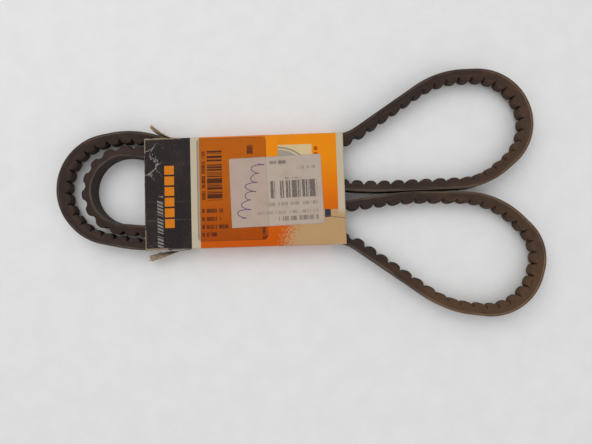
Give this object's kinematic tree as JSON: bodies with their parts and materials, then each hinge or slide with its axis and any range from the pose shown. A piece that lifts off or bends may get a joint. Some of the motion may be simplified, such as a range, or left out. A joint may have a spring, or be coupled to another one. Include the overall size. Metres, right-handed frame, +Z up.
{
  "type": "v belt",
  "caption": "Endless raw-edge cogged V belt, folded flat into one bend and two loops, held by a printed card sleeve with labels.",
  "frame": {"origin": "middle of the footprint, on the surface the pack lies on", "axes": "+X along the sleeve towards the two open loops, +Y across the sleeve, +Z up, out of the printed front panel"},
  "size_m": [0.3453, 0.1761, 0.015],
  "materials": {
    "belt_rubber": "matt, dusty brown-black moulded rubber, ground side faces",
    "belt_fabric": "rubbered woven cloth, worn brown",
    "cord": "twisted polyester cord, tan",
    "printed_card": "orange, black and cream print on card, worn",
    "plain_card": "printed card, worn",
    "torn_card": "grey-brown card fibre, torn",
    "glue": "dry adhesive",
    "clear_film": "clear film, slightly dirty",
    "label_paper": "greyish white paper"
  },
  "bodies": {
    "belt": {"compression_rubber": "belt_rubber", "adhesion_rubber": "belt_rubber", "cushion_rubber": "belt_rubber", "back_fabric": "belt_fabric", "tension_cord_01": "cord", "tension_cord_02": "cord", "tension_cord_03": "cord", "tension_cord_04": "cord", "tension_cord_05": "cord", "tension_cord_06": "cord", "tension_cord_07": "cord", "tension_cord_08": "cord", "tension_cord_09": "cord"},
    "sleeve": {"back_panel": "plain_card", "front_panel": "printed_card", "lower_wall": "plain_card", "upper_wall": "plain_card", "glue_flap": "plain_card", "glue_line": "glue", "film_label": "clear_film", "price_label": "label_paper"},
    "upper_strip": {"upper_torn_strip": "torn_card"},
    "lower_strip": {"lower_torn_strip": "torn_card"}
  },
  "joints": [
    {"name": "sleeve_slide", "type": "slide", "parent": "belt", "child": "sleeve", "axis": [1, 0, 0], "range_m": [-0.0012, 0.0022]},
    {"name": "upper_strip_crease", "type": "hinge", "parent": "sleeve", "child": "upper_strip", "pos_m": [-0.08284, 0.04501, 0.0071], "axis": [0, 0, -1], "range_deg": [0, 60]},
    {"name": "lower_strip_crease", "type": "hinge", "parent": "sleeve", "child": "lower_strip", "pos_m": [-0.07436, -0.03453, 0.0071], "axis": [0, 0, 1], "range_deg": [0, 60]}
  ]
}
